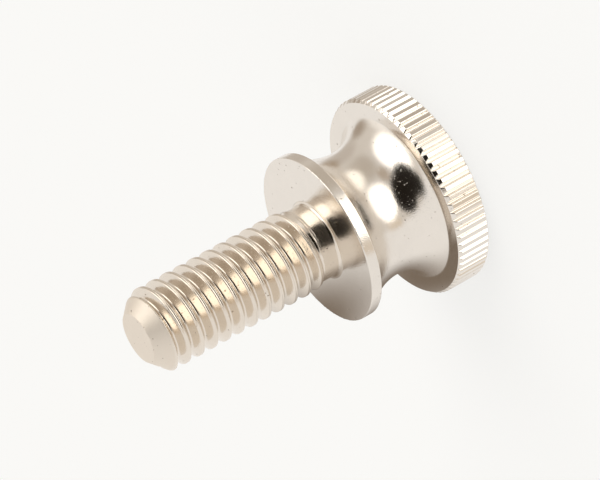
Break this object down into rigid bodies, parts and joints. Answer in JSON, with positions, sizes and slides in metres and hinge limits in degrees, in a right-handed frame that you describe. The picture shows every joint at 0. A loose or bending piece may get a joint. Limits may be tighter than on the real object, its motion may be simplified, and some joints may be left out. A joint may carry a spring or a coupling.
{
  "type": "knurled thumb screw",
  "caption": "Knurled thumb screw with a threaded shank, a thin bearing collar, a concave waist and a straight-knurled head.",
  "frame": {"origin": "on the screw's axis, at the flat back of its head, which it stands on", "axes": "+Z along the screw's axis, from the head up to the tip; a groove of the knurl is centred on +X"},
  "size_m": [0.019, 0.019, 0.0307],
  "materials": {
    "nickel_plate": "bright nickel plating with fine speckle over turned and rolled metal"
  },
  "bodies": {
    "root": {"thumb_screw": "nickel_plate"}
  },
  "joints": []
}
